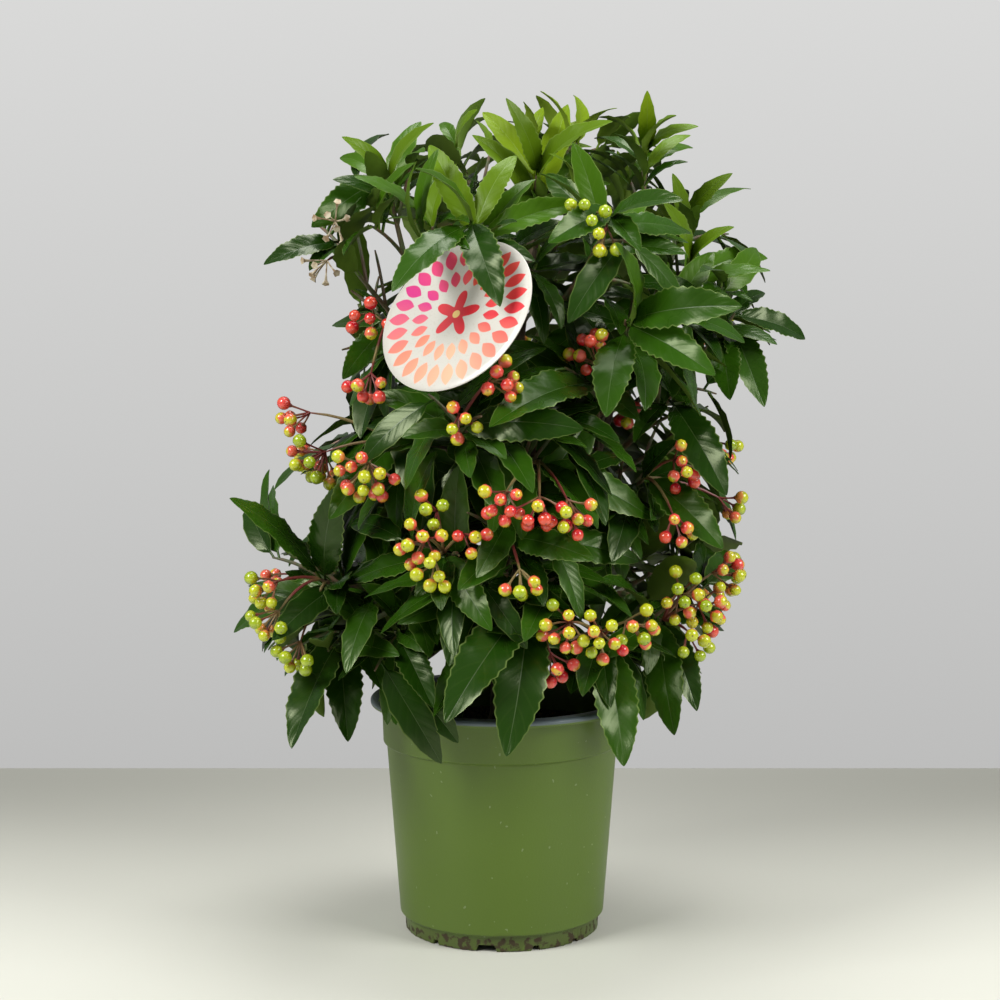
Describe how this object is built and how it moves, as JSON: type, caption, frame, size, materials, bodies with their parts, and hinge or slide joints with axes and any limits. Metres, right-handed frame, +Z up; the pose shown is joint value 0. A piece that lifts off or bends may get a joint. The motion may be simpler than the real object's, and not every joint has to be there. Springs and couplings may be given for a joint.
{
  "type": "potted ardisia shrub",
  "caption": "Small evergreen berry shrub with toothed leaves and bunches of green and red berries, growing in a round green nursery pot, with a round plant card on a twig.",
  "frame": {"origin": "middle of the pot's flat underside, on the ground", "axes": "+Z up through the pot's axis; the plant's front faces -Y"},
  "size_m": [0.299, 0.2605, 0.4424],
  "materials": {
    "pot": "moulded olive green polypropylene, fine satin, with a grey-blue inside and lip",
    "compost": "dark moist peat and bark compost",
    "card": "coated cream card with a printed pattern",
    "bark": "thin brown bark, fine lengthwise cracks",
    "foliage": "glossy dark green leaves with pale midribs, on thin twigs",
    "fresh_foliage": "fresh yellow-green leaves with a soft gloss",
    "berries": "glossy berries that ripen from yellow-green through coral to red"
  },
  "bodies": {
    "root": {"pot": "pot", "soil": "compost", "tag": "card", "trunk": "bark", "bough_centre": "bark", "bough_right": "bark", "bough_left": "bark", "bough_back": "bark", "bough_front": "bark", "bough_low_left": "bark", "bough_low_right": "bark", "bough_low_front": "bark", "bough_low_back_left": "bark", "bough_low_back_right": "bark", "top_centre": "fresh_foliage", "top_front_left": "fresh_foliage", "top_right": "fresh_foliage", "upper_right": "fresh_foliage", "front_upper_right": "foliage", "right_front": "foliage", "right_upper": "fresh_foliage", "right_outer": "foliage", "left_outer": "foliage", "left_upper": "fresh_foliage", "left_front_upper": "foliage", "top_back_left": "fresh_foliage", "left_mid": "foliage", "centre_high": "foliage", "left_mid_low": "foliage", "centre_dark": "foliage", "centre_mid": "foliage", "left_low": "foliage", "left_low_hang": "foliage", "low_left_front": "foliage", "centre_front": "foliage", "low_front": "foliage", "low_right_front": "foliage", "low_right": "foliage", "right_mid": "foliage", "right_low_mid": "foliage", "centre_low": "foliage", "top_back": "fresh_foliage", "back_upper_left": "fresh_foliage", "back_upper_right": "fresh_foliage", "back_middle": "foliage", "back_left_high": "foliage", "left_middle_back": "foliage", "back_right_high": "foliage", "right_middle_back": "foliage", "back_low_left": "foliage", "left_low_back": "foliage", "back_low_right": "foliage", "right_low_back": "foliage", "back_low": "foliage", "back_middle_left": "foliage", "back_middle_right": "foliage"}
  },
  "joints": []
}
